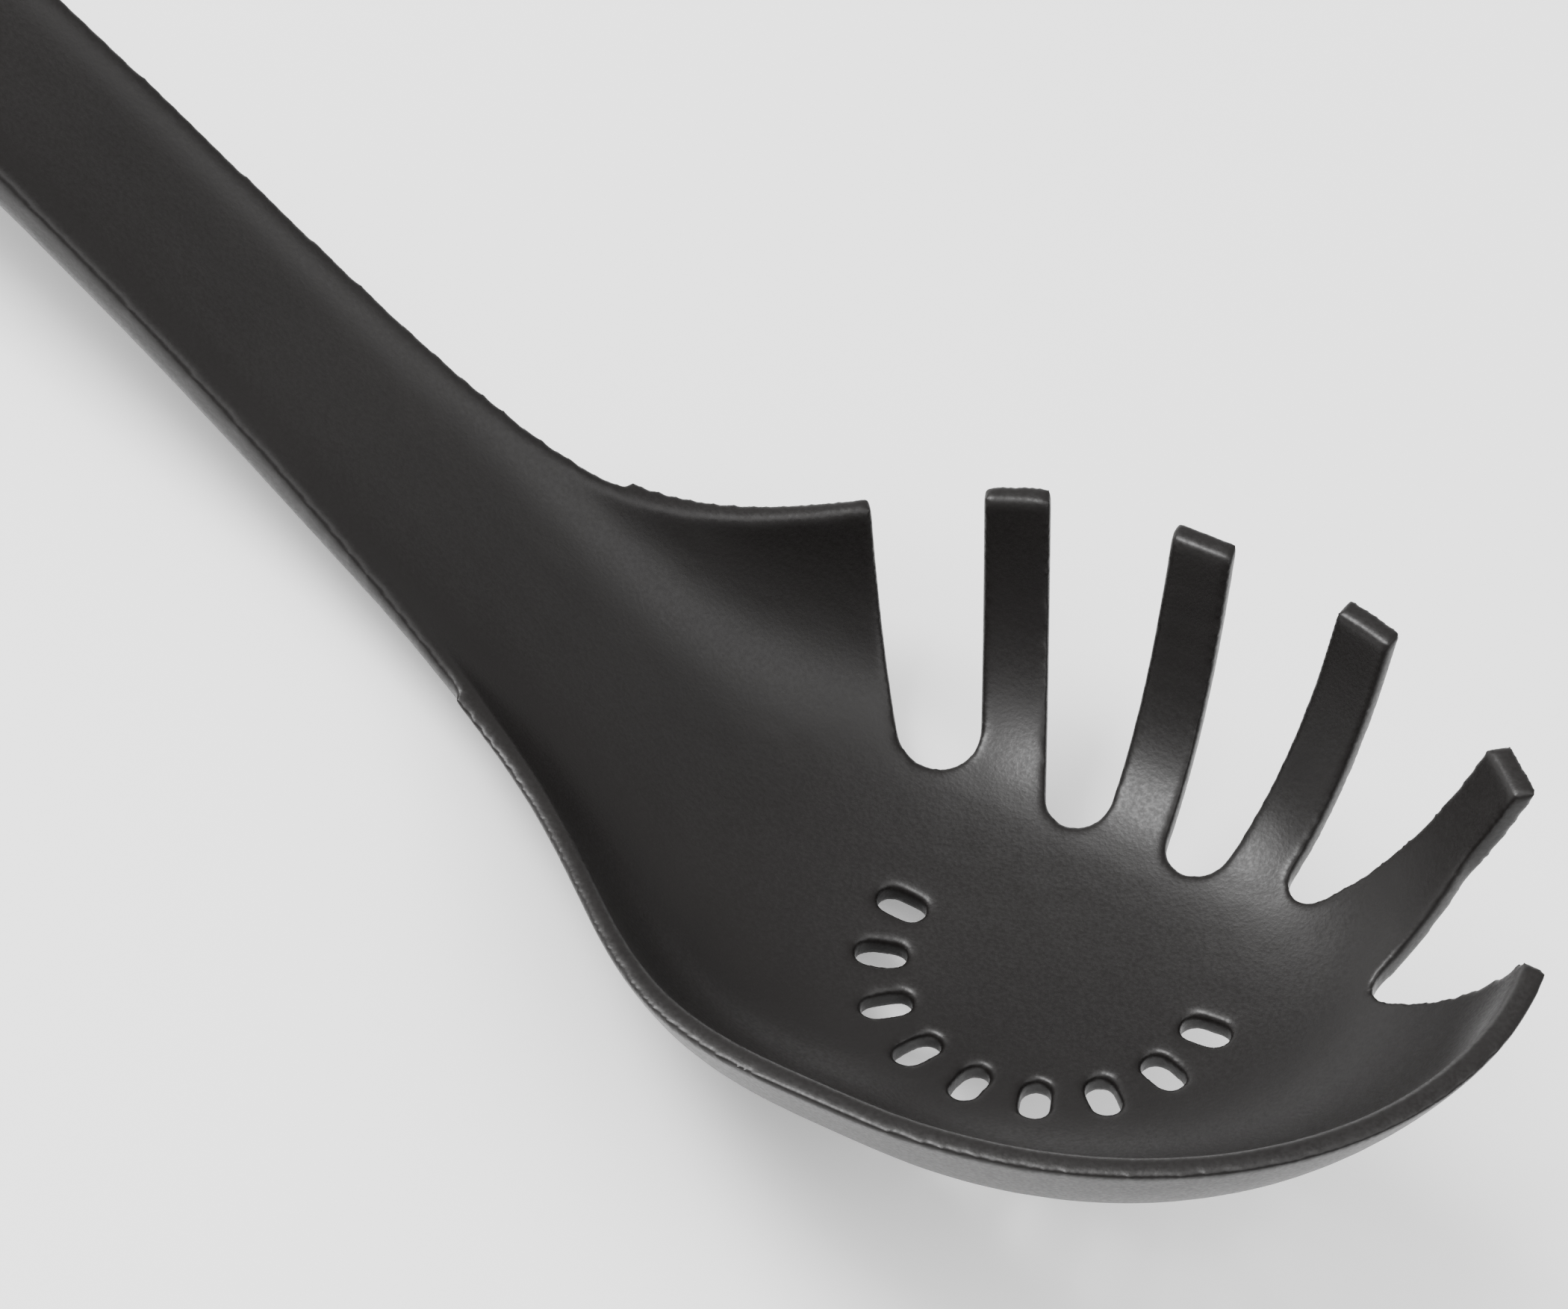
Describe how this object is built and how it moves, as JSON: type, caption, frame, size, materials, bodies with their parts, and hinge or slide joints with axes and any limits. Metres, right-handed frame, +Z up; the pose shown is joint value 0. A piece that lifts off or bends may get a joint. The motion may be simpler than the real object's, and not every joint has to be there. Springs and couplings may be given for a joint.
{
  "type": "pasta server",
  "caption": "Pasta server with a deep oval bowl, a toothed side, drain slots and a soft-grip handle with a hanging hole.",
  "frame": {"origin": "middle of the footprint, on the table", "axes": "+X from the handle to the front of the bowl, +Y to the toothed side, +Z up; the server lies on the heel of its bowl and the end of its handle"},
  "size_m": [0.3198, 0.0748, 0.0546],
  "materials": {
    "nylon": "satin moulded nylon",
    "core_plastic": "plain moulded",
    "hard_plastic": "satin moulded",
    "soft_grip": "fine matt",
    "steel": "brushed"
  },
  "bodies": {
    "root": {"server_head": "nylon", "handle_core": "core_plastic", "front_collar": "hard_plastic", "grip_sleeve": "soft_grip", "end_cap": "hard_plastic", "hang_eyelet": "steel", "tang_pin_front": "steel", "tang_pin_rear": "steel"}
  },
  "joints": []
}
